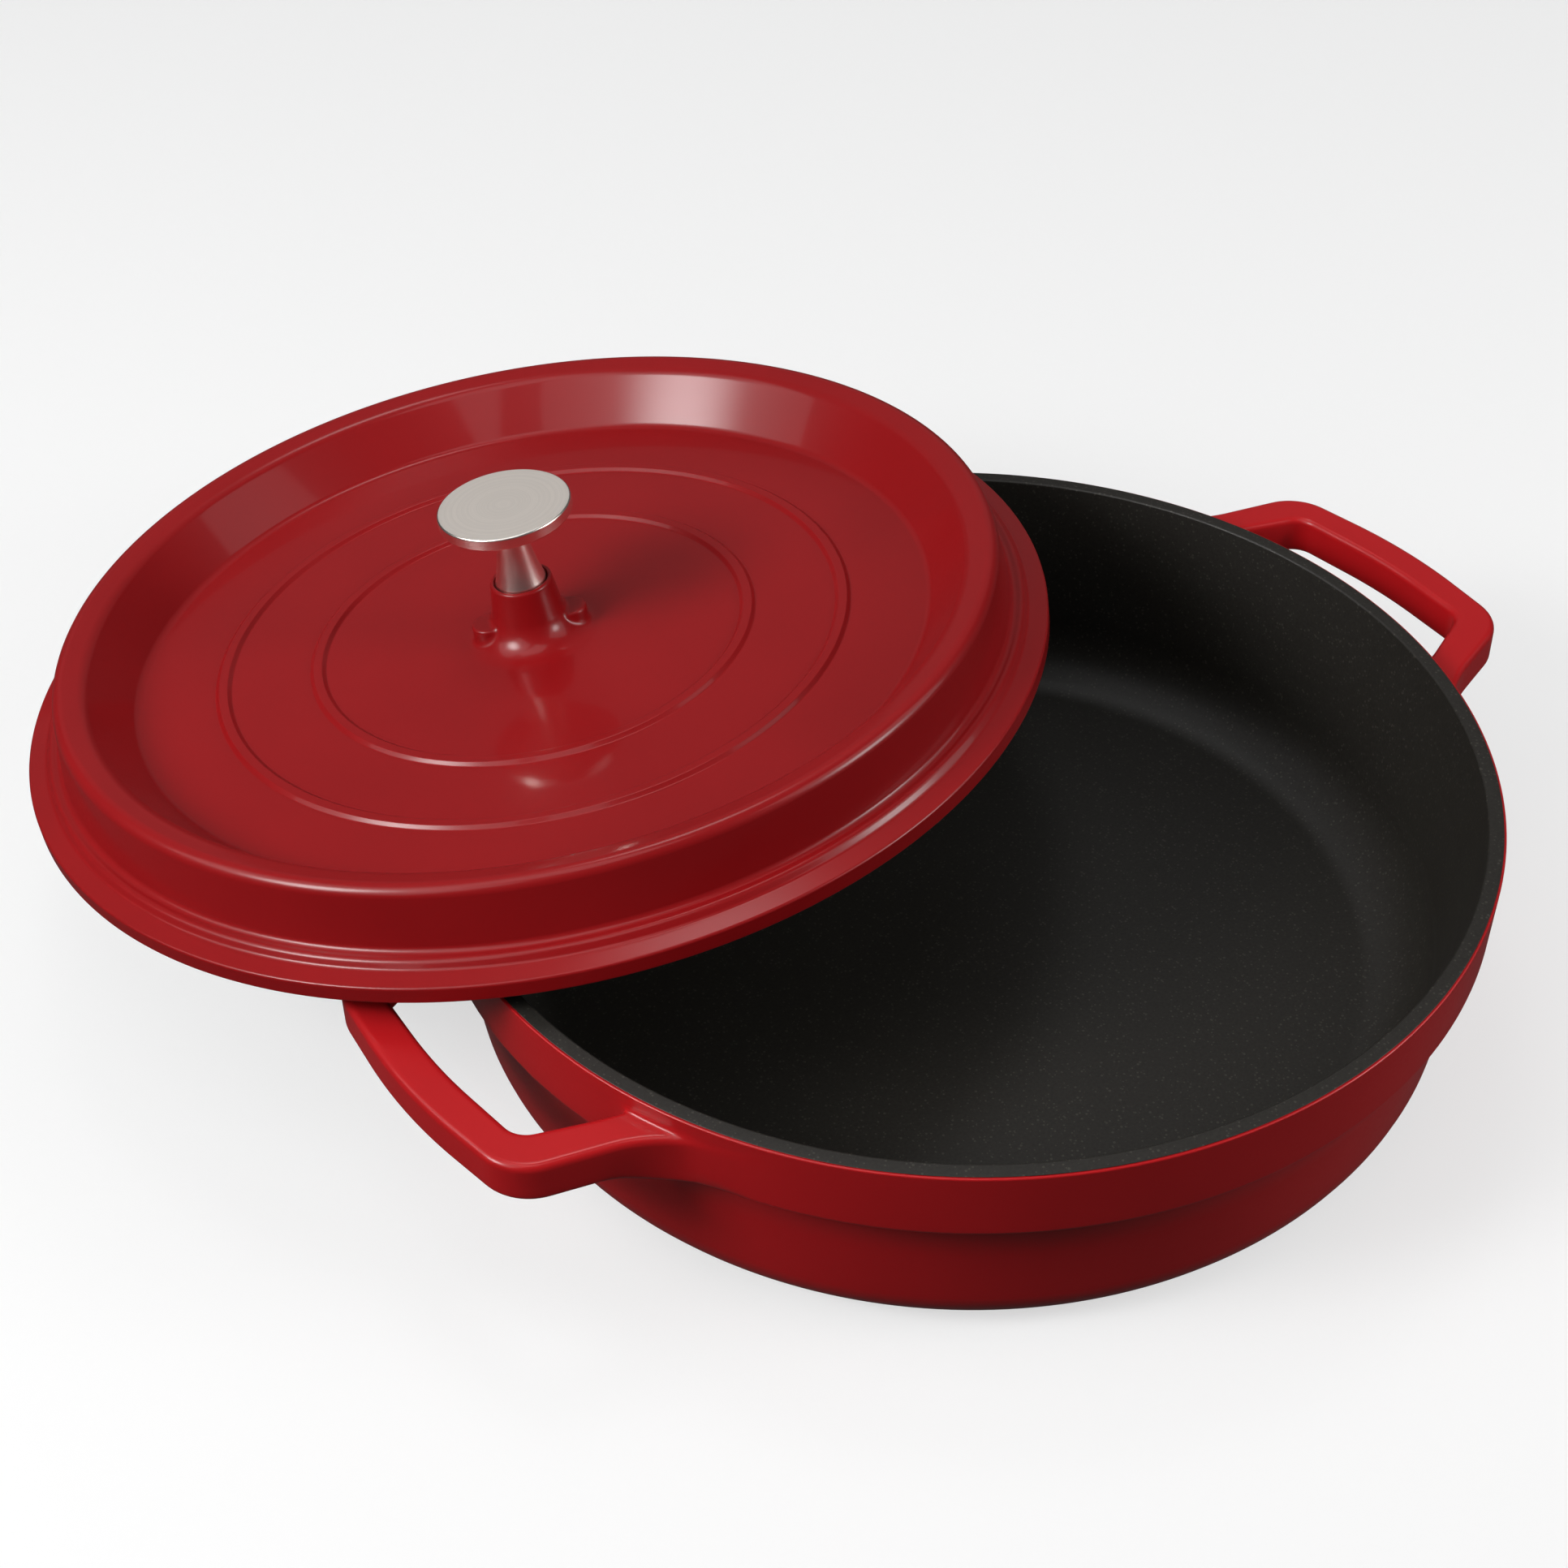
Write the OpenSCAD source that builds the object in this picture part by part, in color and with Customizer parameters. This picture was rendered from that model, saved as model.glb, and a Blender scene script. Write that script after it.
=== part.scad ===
// Covered casserole dish. A shallow round cast vessel with two loop handles cast on,
// and a lid with a sunken top that lies askew across the rim, its knob pulled down by
// a screw from below. Millimetres, +Z up. The origin is the centre of the vessel's
// underside and the handles lie along X.

/* [Vessel] */
// Outer radius of the rim
rim_r = 144.7; // [140:0.1:150]
// Height from the underside to the top of the rim
vessel_h = 68; // [62:0.5:80]
// Width of the flat top of the rim
rim_w = 4.7; // [4.2:0.1:5.5]
// Height of the upper band, from its stepped lower edge to the rim
band_h = 21; // [20:0.5:24]
// How far the wall stands in under the band
band_step = 5.2; // [4:0.1:6]
// Radius of the flat underside
base_r = 120.5; // [112:0.5:123]
// Radius of the outer corner between wall and underside
base_corner = 15; // [10:0.5:18]
// Radius of the inner corner between wall and floor
floor_corner = 18; // [12:0.5:20]
// Thickness of the floor, with its coating
floor_t = 5.4; // [5:0.1:8]
// Thickness of the dark coatings
coat_t = 0.4; // [0.2:0.1:0.5]

/* [Base plate] */
// Radius of the steel plate let into the underside, flush with it
plate_r = 96; // [80:1:105]
// Thickness of the plate
plate_t = 2; // [1:0.1:2.5]

/* [Handles] */
// Distance from the vessel's axis to the outer face of the bar
handle_reach = 176.7; // [174:0.1:182]
// Width of the bar at its middle
bar_w = 11.1; // [10:0.1:13]
// Height of the bar
bar_h = 12; // [10:0.5:13]
// Depth of the bar's top below the rim
handle_drop = 5.5; // [4:0.5:7]
// Half width of the loop, outside its corners
loop_half = 41.4; // [40:0.1:46]
// Angle from X at which a root of the loop leaves the wall
root_angle = 28; // [26:0.5:30]

/* [Lid] */
// Outer radius of the flange
lid_r = 146.5; // [145:0.1:148]
// Thickness of the flange at its edge
flange_t = 4.7; // [4:0.1:5.5]
// Height of the crest above the top of the flange's edge
crest_h = 21.7; // [20:0.1:24]
// Radius of the sunken floor
basin_r = 114; // [110:0.5:116]
// Height of the sunken floor above the top of the flange's edge
basin_h = 5.6; // [5:0.1:7]
// Thickness of the lid's casting
lid_t = 3.6; // [3:0.1:4]
// Radii of the two raised rings on the sunken floor
ring_radii = [62, 89.2]; // [50:0.1:105]
// Height of the raised rings
ring_h = 1; // [0.5:0.1:1.5]
// Depth of the locating ring under the flange
locator_h = 3; // [2:0.1:3.2]

/* [Boss] */
// Height of the boss's mouth above the top of the flange's edge
boss_h = 23.4; // [22:0.1:25]
// Radius of the boss at its mouth
boss_r = 8.8; // [8.6:0.1:10]
// Radius of the hollow curve at the foot of the boss
boss_flare = 9.5; // [7:0.5:10]
// Distance of the two ears from the boss's axis
ear_x = 11.6; // [10:0.1:13]
// Radius of an ear
ear_r = 5; // [4:0.1:5.5]
// Height of the ears above the top of the flange's edge
ear_h = 11.4; // [10:0.1:13]
// Direction of the ears, turned from X
ear_turn = -26; // [-90:1:90]

/* [Knob] */
// Height of the knob's top above the top of the flange's edge
knob_h = 47.9; // [44:0.1:52]
// Radius of the knob's disc
knob_r = 18.8; // [16:0.1:22]
// Thickness of the disc
disc_t = 3.9; // [3:0.1:5]
// Radius of the stem's waist
waist_r = 4.15; // [4:0.05:5]
// Radius of the stem's foot
foot_r = 7.3; // [7:0.1:7.5]

/* [Fastening] */
// Nominal radius of the knob's screw
screw_r = 2.5; // [2.5:0.1:2.6]
// Length of the screw under its head
screw_l = 18; // [16:1:20]

/* [Lid's place] */
// Centre of the lid, level with the top of its flange's edge
lid_at = [-60.5, 116.3, 69.5]; // [-120:0.1:120]
// Lean of the lid from level, in degrees
lid_lean = 7.66; // [7.4:0.01:7.8]
// Compass direction that the lid leans towards, counted from X
lid_lean_to = 115; // [113:1:117]

/* [Hidden] */

ROUND = 180;
red = [0.62, 0.09, 0.10];
dark = [0.10, 0.10, 0.09];
steel = [0.78, 0.76, 0.73];

// Where the vessel's band ends
band_z = vessel_h - band_h;

// Heights above the top of the flange's edge, from the lid's underside up to the knob
flange_under = -flange_t;
under_floor = basin_h - lid_t;
web_under = 14.4;
socket_floor = 18.9;
seat_t = 1;
flat_washer_t = 1;
spring_washer_t = 1.3;
head_h = 3.4;
head_top = web_under - flat_washer_t - spring_washer_t;
socket_r = foot_r + 0.4;
recess_r = 8.2;
thread_depth = 12;

// ---- Outlines: points are [x, y] or [x, y, corner radius] ----

function unit(v) = v / norm(v);
function turned(v) = [-v[1], v[0]];
function flat(lists) = [for (l = lists, p = l) p];
function reversed(l) = [for (i = [len(l) - 1 : -1 : 0]) l[i]];
function mirrored(l) = reversed([for (p = l) [p[0], -p[1], p[2]]]);
function plane(p) = [p[0], p[1]];

// The arc that rounds corner b between a and c, in about steps steps
function corner(a, b, c, r, steps) =
    let (
        to_a = unit(plane(a) - plane(b)),
        to_c = unit(plane(c) - plane(b)),
        half = acos(to_a * to_c) / 2,
        middle = plane(b) + unit(to_a + to_c) * r / sin(half),
        start = plane(b) + to_a * r / tan(half) - middle,
        side = sign(start[0] * (to_c - to_a)[1] - start[1] * (to_c - to_a)[0]),
        sweep = side * (180 - 2 * half),
        from = atan2(start[1], start[0])
    )
    [for (i = [0 : steps]) middle + r * [cos(from + sweep * i / steps), sin(from + sweep * i / steps)]];

// An open path with its inner corners rounded
function rounded_path(points, steps = 5) = flat([
    for (i = [0 : len(points) - 1])
        let (p = points[i], ends = i == 0 || i == len(points) - 1)
        ends || len(p) < 3 || p[2] == 0
            ? [plane(p)]
            : corner(points[i - 1], p, points[i + 1], p[2], steps)
]);

// The same path moved sideways by d, to the left of its direction
function shifted(path, d) = [
    for (i = [0 : len(path) - 1])
        let (
            before = i == 0 ? path[1] - path[0] : path[i] - path[i - 1],
            after = i == len(path) - 1 ? before : path[i + 1] - path[i],
            n1 = unit(turned(before)),
            n2 = unit(turned(after))
        )
        path[i] + (n1 + n2) * d / (1 + n1 * n2)
];

module skin(path, thickness) {
    rotate_extrude($fn = ROUND) polygon(concat(path, reversed(shifted(path, thickness))));
}

// ---- Vessel ----

// The coated surface, from the rim's outer edge over the lip and down to the floor's centre
coated = rounded_path([
    [rim_r - 0.7, vessel_h],
    [rim_r - rim_w, vessel_h, 0.6],
    [rim_r - rim_w - 4, band_z - 1, 60],
    [base_r + 12, floor_corner + 6, 60],
    [base_r + 10, floor_t, floor_corner],
    [0, floor_t]
], 6);

// The painted outside, from the underside's centre up to the rim
painted = rounded_path([
    [0, 0],
    [base_r + base_corner, 0, base_corner],
    [rim_r - 7.2, vessel_h / 2 + 1, 60],
    [rim_r - band_step, band_z, 0.8],
    [rim_r - 0.6, band_z, 1.2],
    [rim_r, vessel_h - coat_t / 2, 0.6],
    [rim_r - 0.7, vessel_h - coat_t]
], 6);

loop_mid = handle_reach + 1.3;
loop_corner = [handle_reach - 4.2, loop_half, 15];
hole_mid = handle_reach - bar_w + 1;
hole_corner = [handle_reach - bar_w - 1.8, loop_half - 9.8, 7];
big_arc = 150;

// Outer outline of one loop, flaring into the wall at its two roots
function loop_outline() =
    let (
        root = (rim_r - 0.8) * [cos(root_angle), sin(root_angle)],
        half = [root, [rim_r - 9.1, loop_half + 11.5, 34], loop_corner]
    )
    rounded_path(concat(half, [[loop_mid, 0, big_arc]], mirrored(half)), 8);

// Outline of the gap between the bar and the wall
function hole_outline() =
    let (half = [[rim_r - 20, loop_half + 4.5], [rim_r + 1.5, loop_half - 2.8, 20], hole_corner])
    rounded_path(concat(half, [[hole_mid, 0, big_arc]], mirrored(half)), 8);

module loop_plan() {
    difference() {
        polygon(loop_outline());
        polygon(hole_outline());
    }
}

module handle() {
    top = vessel_h - handle_drop;
    difference() {
        union() {
            translate([0, 0, top - bar_h]) linear_extrude(bar_h) loop_plan();
            // The roots deepen to the foot of the band
            intersection() {
                translate([0, 0, band_z]) linear_extrude(top - band_z - 1) loop_plan();
                rotate_extrude($fn = ROUND)
                    polygon([
                        [rim_r - 6, band_z], [rim_r + 1, band_z],
                        [rim_r + 12, top - bar_h + 0.01], [rim_r - 6, top - bar_h + 0.01]
                    ]);
            }
        }
        translate([0, 0, band_z - 1]) cylinder(r = rim_r - 2.2, h = band_h, $fn = ROUND);
    }
}

module vessel() {
    color(red) difference() {
        union() {
            rotate_extrude($fn = ROUND) polygon(concat(painted, shifted(coated, coat_t)));
            handle();
            mirror([1, 0, 0]) handle();
        }
        translate([0, 0, -1]) cylinder(r = plate_r, h = plate_t + 1, $fn = ROUND);
    }
}

module vessel_lining() {
    color(dark) skin(coated, coat_t);
}

module base_plate() {
    color(steel) cylinder(r = plate_r, h = plate_t, $fn = ROUND);
}

// ---- Lid: drawn level, with the top of its flange's edge at zero ----

module on_lid() {
    translate(lid_at)
        rotate([0, 0, lid_lean_to])
            rotate([0, lid_lean, 0])
                rotate([0, 0, -lid_lean_to])
                    children();
}

// One raised ring in section
function ring_section(r) = [
    [r - 2.4, basin_h, 1.2], [r - 1.1, basin_h + ring_h, 0.7],
    [r + 1.1, basin_h + ring_h, 0.7], [r + 2.4, basin_h, 1.2]
];

// The top, from the boss's mouth out to the flange's edge
lid_top = rounded_path(concat(
    [[0, boss_h], [boss_r, boss_h, 0.8], [boss_r + 2.4, basin_h, boss_flare]],
    flat([for (r = ring_radii) ring_section(r)]),
    [
        [basin_r, basin_h, 3],
        [basin_r + 11.4, crest_h - 1.9, 5],
        [basin_r + 19.9, crest_h, 3.2],
        [basin_r + 22.4, 3.2, 1.8],
        [basin_r + 25.6, 3.5, 1.8],
        [basin_r + 27, 1.3, 1.4],
        [lid_r, 0, 0.8],
        [lid_r, flange_under + 0.1, 0.4],
        [lid_r - 0.6, flange_under]
    ]
), 5);

// The coated underside, from the flange's edge over the locating ring to the knob's recess
locator_r = rim_r - rim_w - 1.6;
lid_under = rounded_path([
    [lid_r - 0.6, flange_under],
    [locator_r, flange_under, 0.5],
    [locator_r - 0.3, flange_under - locator_h, 1],
    [locator_r - 4, flange_under - locator_h, 1],
    [basin_r + 16.2, crest_h - lid_t - 0.6, 2.5],
    [basin_r + 12.6, crest_h - lid_t - 1.6, 2],
    [basin_r + 2.6, under_floor, 4],
    [recess_r + 1.4, under_floor]
], 5);

module lid() {
    // The coating lies in the casting's underside, flush at the flange's edge and at the recess
    bare_edge = lid_under[len(lid_under) - 1];
    casting = concat(lid_top, shifted(lid_under, -coat_t), [bare_edge, [0, bare_edge[1]]]);
    color(red) on_lid() difference() {
        union() {
            rotate_extrude($fn = ROUND) polygon(casting);
            rotate(ear_turn) for (side = [-1, 1])
                translate([side * ear_x, 0, under_floor + 1])
                    cylinder(r = ear_r, h = ear_h - under_floor - 1, $fn = 64);
        }
        translate([0, 0, socket_floor]) cylinder(r = socket_r, h = boss_h, $fn = 96);
        cylinder(r = screw_r + 0.4, h = boss_h, $fn = 48);
        translate([0, 0, under_floor - 1]) cylinder(r = recess_r, h = web_under - under_floor + 1, $fn = 96);
    }
}

module lid_lining() {
    color(dark) on_lid() skin(lid_under, -coat_t);
}

// The stem narrows upwards in one hollow sweep from its foot to its waist
stem_foot_z = boss_h - 0.4;
waist_z = knob_h - disc_t - 1.6;
stem_sweep = [
    for (i = [0 : 12])
        let (u = i / 12)
        [waist_r + (foot_r - waist_r) * pow(1 - u, 1.9), stem_foot_z + (waist_z - stem_foot_z) * u]
];
knob_section = concat(
    [[0, socket_floor + seat_t], [foot_r, socket_floor + seat_t]],
    stem_sweep,
    rounded_path([
        [waist_r + 0.1, waist_z + 0.3],
        [waist_r + 0.3, knob_h - disc_t, 1.4],
        [knob_r, knob_h - disc_t + 0.2, 0.9],
        [knob_r, knob_h, 0.8],
        [0, knob_h]
    ], 5)
);

module knob() {
    color(steel) on_lid() difference() {
        rotate_extrude($fn = 128) polygon(knob_section);
        translate([0, 0, socket_floor]) cylinder(r = screw_r, h = thread_depth, $fn = 48);
    }
}

module washer(outer_r, inner_r, z, thickness) {
    translate([0, 0, z]) difference() {
        cylinder(r = outer_r, h = thickness, $fn = 96);
        translate([0, 0, -1]) cylinder(r = inner_r, h = thickness + 2, $fn = 64);
    }
}

module knob_seat_ring() {
    color(dark) on_lid() washer(foot_r, screw_r + 0.4, socket_floor, seat_t);
}

module flat_washer() {
    color(steel) on_lid() washer(6, screw_r + 0.2, web_under - flat_washer_t, flat_washer_t);
}

module spring_washer() {
    outer_r = 4.6;
    slit = 0.8;
    color(steel) on_lid() difference() {
        washer(outer_r, screw_r + 0.15, head_top, spring_washer_t);
        rotate(40) translate([0, -slit / 2, head_top - 1]) cube([outer_r + 1, slit, spring_washer_t + 2]);
    }
}

module knob_screw() {
    head_r = 4.5;
    hex_r = 2.3;
    hex_depth = 2.2;
    color(steel) on_lid() difference() {
        union() {
            translate([0, 0, head_top]) cylinder(r = screw_r - 0.05, h = screw_l, $fn = 64);
            translate([0, 0, head_top - head_h]) cylinder(r = head_r, h = head_h, $fn = 96);
        }
        translate([0, 0, head_top - head_h - 1]) cylinder(r = hex_r, h = hex_depth + 1, $fn = 6);
    }
}

vessel();
vessel_lining();
base_plate();
lid();
lid_lining();
knob();
knob_seat_ring();
knob_screw();
flat_washer();
spring_washer();
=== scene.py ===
"""Covered casserole dish: the final meshes, materials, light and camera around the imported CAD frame.

Shapes are worked out in millimetres, in the CAD's own frame, and turned into metres when a piece is made.
"""

import math

import bmesh
import bpy
import numpy as np
from mathutils import Matrix, Vector


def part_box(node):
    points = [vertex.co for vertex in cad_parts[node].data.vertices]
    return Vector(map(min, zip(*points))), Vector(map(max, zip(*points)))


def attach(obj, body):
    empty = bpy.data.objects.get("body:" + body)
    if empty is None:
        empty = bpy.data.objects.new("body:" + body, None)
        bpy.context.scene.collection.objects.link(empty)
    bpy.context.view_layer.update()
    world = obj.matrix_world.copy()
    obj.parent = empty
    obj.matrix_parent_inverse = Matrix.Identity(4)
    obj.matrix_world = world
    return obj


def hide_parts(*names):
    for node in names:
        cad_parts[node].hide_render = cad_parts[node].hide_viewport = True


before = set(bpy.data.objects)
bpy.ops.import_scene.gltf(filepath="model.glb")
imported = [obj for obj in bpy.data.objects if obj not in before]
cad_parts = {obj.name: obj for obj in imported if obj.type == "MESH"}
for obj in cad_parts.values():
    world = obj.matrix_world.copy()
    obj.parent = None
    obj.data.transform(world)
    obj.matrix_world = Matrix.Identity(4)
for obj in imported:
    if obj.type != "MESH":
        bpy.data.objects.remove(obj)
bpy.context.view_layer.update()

MM = 0.001
FULL = 2 * math.pi
FINE_TURN = 288


def mm_box(node):
    """A CAD node's box in millimetres, as its low and its high corner."""
    low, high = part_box(node)
    return np.array(low) / MM, np.array(high) / MM


# ---- Sizes, in millimetres: the outer ones from the frame, the finer ones as in the CAD ----

rim_r = mm_box("vessel")[1][1]
handle_reach = mm_box("vessel")[1][0]
vessel_h = mm_box("vessel_lining")[1][2]
plate_r = mm_box("base_plate")[1][1]
plate_t = mm_box("base_plate")[1][2]

rim_w = 4.7
band_h = 21
band_step = 5.2
band_lean = 0.6
base_r = 120.5
base_corner = 15
floor_corner = 18
floor_t = 5.4
coat_t = 0.4
band_z = vessel_h - band_h

bar_w = 11.1
bar_h = 12
handle_drop = 5.5
loop_half = 41.4
root_angle = 28
handle_edge = 1.9
handle_fillet = 1.7

lid_r = 146.5
flange_t = 4.7
flange_top_edge = 0.8
flange_low_edge = 0.5
crest_h = 21.7
basin_r = 114
basin_h = 5.6
lid_t = 3.6
ring_radii = (62, 89.2)
ring_h = 1
locator_h = 3

boss_h = 23.4
boss_r = 8.8
boss_flare = 9.5
ear_x = 11.6
ear_r = 5
ear_h = 11.4
ear_turn = math.radians(-26)
ear_edge = 0.8
ear_fillet = 1.2

knob_h = 47.9
knob_r = 18.8
disc_t = 3.9
disc_edge = 0.8
waist_r = 4.15
foot_r = 7.3
socket_floor = 18.9
web_under = 14.4
socket_r = foot_r + 0.4
recess_r = 8.2
screw_r = 2.5
thread_r = 2.45


# ---- Paths: points are [x, y] or [x, y, corner radius] ----

def unit(v):
    v = np.asarray(v, float)
    return v / np.linalg.norm(v)


def polar(r, degrees):
    angle = math.radians(degrees)
    return [r * math.cos(angle), r * math.sin(angle)]


def rounded(points, turn=9.0, chord=3.0):
    """An open path whose corners become arcs, of facets of at most turn degrees and chord millimetres."""
    path = []
    for i, p in enumerate(points):
        here = np.array(p[:2], float)
        if i in (0, len(points) - 1) or len(p) < 3:
            path.append(here)
            continue
        to_last = unit(np.array(points[i - 1][:2]) - here)
        to_next = unit(np.array(points[i + 1][:2]) - here)
        half = math.acos(np.clip(to_last @ to_next, -1, 1)) / 2
        middle = here + unit(to_last + to_next) * p[2] / math.sin(half)
        start = here + to_last * p[2] / math.tan(half) - middle
        across = to_next - to_last
        side = np.sign(start[0] * across[1] - start[1] * across[0])
        sweep = side * (math.pi - 2 * half)
        steps = math.ceil(max(2, abs(math.degrees(sweep)) / turn, abs(sweep) * p[2] / chord))
        first = math.atan2(start[1], start[0])
        for angle in first + sweep * np.arange(steps + 1) / steps:
            path.append(middle + p[2] * np.array([math.cos(angle), math.sin(angle)]))
    return np.array(path)


def shifted(path, d):
    """The path moved sideways by d, to the left of its direction."""
    step = np.diff(path, axis=0)
    step /= np.linalg.norm(step, axis=1)[:, None]
    left = np.stack([-step[:, 1], step[:, 0]], axis=1)
    before = np.vstack([left[:1], left])
    after = np.vstack([left, left[-1:]])
    return path + (before + after) * d / (1 + (before * after).sum(1))[:, None]


def lengths(path):
    return np.concatenate([[0], np.cumsum(np.linalg.norm(np.diff(path, axis=0), axis=1))])


def along(path, where):
    """The points at those distances along the path."""
    run = lengths(path)
    return np.stack([np.interp(where, run, path[:, k]) for k in range(path.shape[1])], axis=-1)


def crowded(count):
    """count + 1 numbers from 0 to 1 that stand closer together towards both ends."""
    share = 0.6
    even = np.arange(count + 1) / count
    return (1 - share) * even + share * (0.5 - 0.5 * np.cos(math.pi * even))


def steps_to(first, last, count):
    """count even steps from first to last, without first itself."""
    return first + (last - first) * np.arange(1, count + 1) / count


def eased(x):
    """From 0 to 1 with a level start and a level end."""
    x = np.clip(x, 0, 1)
    return x * x * (3 - 2 * x)


# ---- Signed distances, negative inside, and moving points onto a surface ----

def polygon_distance(points, polygon):
    """Signed distance of 2-D points to a closed polygon."""
    ends = np.roll(polygon, -1, axis=0)
    best = np.full(len(points), np.inf)
    inside = np.zeros(len(points), bool)
    for a, b in zip(polygon, ends):
        edge = b - a
        size = edge @ edge
        if size < 1e-12:
            continue
        share = np.clip(((points - a) @ edge) / size, 0, 1)
        off = points - a - share[:, None] * edge
        best = np.minimum(best, (off * off).sum(1))
        crosses = (a[1] > points[:, 1]) != (b[1] > points[:, 1])
        if a[1] != b[1]:
            at = a[0] + (points[:, 1] - a[1]) * edge[0] / edge[1]
            inside ^= crosses & (points[:, 0] < at)
    return np.where(inside, -1, 1) * np.sqrt(best)


def rounded_slab(d, v, r):
    """A plate's distance from its plan distance d and its height distance v, with edges of radius r."""
    beyond = np.hypot(np.maximum(d + r, 0), np.maximum(v + r, 0))
    return np.minimum(np.maximum(d + r, v + r), 0) + beyond - r


def joined(a, b, fillet):
    """Two solids as one, with a fillet where they meet."""
    near_both = np.hypot(np.maximum(fillet - a, 0), np.maximum(fillet - b, 0))
    return np.maximum(fillet, np.minimum(a, b)) - near_both


def settled(points, distance, rounds=5):
    """The points moved onto the surface where distance is zero."""
    reach = 0.02
    least_slope = 0.05
    longest_move = 1.5
    points = points.copy()
    for _ in range(rounds):
        slope = np.stack([
            (distance(points + step) - distance(points - step)) / (2 * reach)
            for step in np.eye(3) * reach
        ], axis=1)
        size = np.maximum((slope * slope).sum(1), least_slope)
        move = slope * (distance(points) / size)[:, None]
        far = np.maximum(np.linalg.norm(move, axis=1) / longest_move, 1)
        points -= move / far[:, None]
    return points


# ---- Building meshes ----

class Cage:
    """The points and faces of one piece while it is built."""

    def __init__(self):
        self.points = np.zeros((0, 3))
        self.faces = []

    def add(self, points):
        """Adds an array of points of any shape and returns the array of their numbers."""
        flat = np.asarray(points, float).reshape(-1, 3)
        first = len(self.points)
        self.points = np.vstack([self.points, flat])
        return np.arange(first, first + len(flat)).reshape(np.shape(points)[:-1])

    def skin(self, grid, round_rows=False, round_columns=True, skip=None):
        """Quads over a grid of point numbers."""
        rows, columns = grid.shape
        for i in range(rows if round_rows else rows - 1):
            for j in range(columns if round_columns else columns - 1):
                if skip is None or not skip[i, j]:
                    a, b = (i + 1) % rows, (j + 1) % columns
                    self.faces.append((grid[i, j], grid[i, b], grid[a, b], grid[a, j]))


def spun(profile, angles):
    """A profile of [radius, height] turned about Z: an array of rows and columns of points."""
    r, z = profile[:, 0][:, None], profile[:, 1][:, None]
    return np.stack([r * np.cos(angles), r * np.sin(angles), z + 0 * angles], axis=-1)


def full_turn(count):
    return np.arange(count) * FULL / count


def make_piece(name, cage, nodes, body, slot, material, place=None, sharp=50):
    """A mesh object from a cage, standing for CAD nodes and riding on a body."""
    mesh = bpy.data.meshes.new(name)
    mesh.from_pydata((cage.points * MM).tolist(), [], [tuple(int(v) for v in f) for f in cage.faces])
    work = bmesh.new()
    work.from_mesh(mesh)
    bmesh.ops.remove_doubles(work, verts=work.verts, dist=1e-6)
    bmesh.ops.dissolve_degenerate(work, edges=work.edges, dist=1e-7)
    bmesh.ops.recalc_face_normals(work, faces=work.faces)
    work.to_mesh(mesh)
    work.free()
    mesh.shade_smooth()
    mesh.set_sharp_from_angle(angle=math.radians(sharp))
    piece = bpy.data.objects.new(name, mesh)
    bpy.context.scene.collection.objects.link(piece)
    weighted = piece.modifiers.new("weighted normals", "WEIGHTED_NORMAL")
    weighted.keep_sharp = True
    if place is not None:
        piece.matrix_world = place
    mesh.materials.append(material)
    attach(piece, body)
    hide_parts(*nodes)
    return piece


def turned_piece(name, profile, columns, closed, **facts):
    """A piece made by turning one profile; closed joins its last point to its first."""
    cage = Cage()
    cage.skin(cage.add(spun(np.asarray(profile, float), full_turn(columns))), round_rows=closed)
    return make_piece(name, cage, **facts)


# ---- The lid's place, from the frame ----

def lid_place():
    """The matrix that carries the level lid, its flange's edge at height zero, to where it lies.

    The middles of the flange and of the knob's disc give its axis, and the knob's top its height.
    """
    flange_mid = -(flange_t + flange_top_edge - flange_low_edge) / 2
    disc_mid = knob_h - disc_t / 2
    lid_low, lid_high = mm_box("lid")
    knob_low, knob_high = mm_box("knob")
    low_end = (lid_low + lid_high)[:2] / 2
    high_end = (knob_low + knob_high)[:2] / 2
    lean_by = (high_end - low_end) / (disc_mid - flange_mid)
    lean = math.asin(np.linalg.norm(lean_by))
    heading = math.atan2(lean_by[1], lean_by[0])
    centre = low_end - lean_by * flange_mid
    disc_rise = (knob_r - disc_edge) * math.sin(lean) + disc_edge
    top = (knob_h - disc_edge) * math.cos(lean) + disc_rise
    turn = Matrix.Rotation(heading, 4, "Z")
    leaning = turn @ Matrix.Rotation(lean, 4, "Y") @ turn.inverted()
    return Matrix.Translation(Vector((*centre, knob_high[2] - top)) * MM) @ leaning


# ---- Vessel ----

def wall_r(z):
    """Radius of the band's outside, which leans out a little towards the rim."""
    return rim_r - band_lean * (vessel_h - coat_t / 2 - z) / (band_h - coat_t / 2)


# The coating's visible side: over the rim, down the wall and along the floor to the axis
coated = rounded([
    [rim_r - 0.7, vessel_h - 0.15],
    [rim_r - 0.85, vessel_h],
    [rim_r - rim_w, vessel_h, 0.7],
    [rim_r - rim_w - 4, band_z - 1, 60],
    [base_r + 12, floor_corner + 6, 60],
    [base_r + 10, floor_t, floor_corner],
    [0, floor_t],
])

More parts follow.
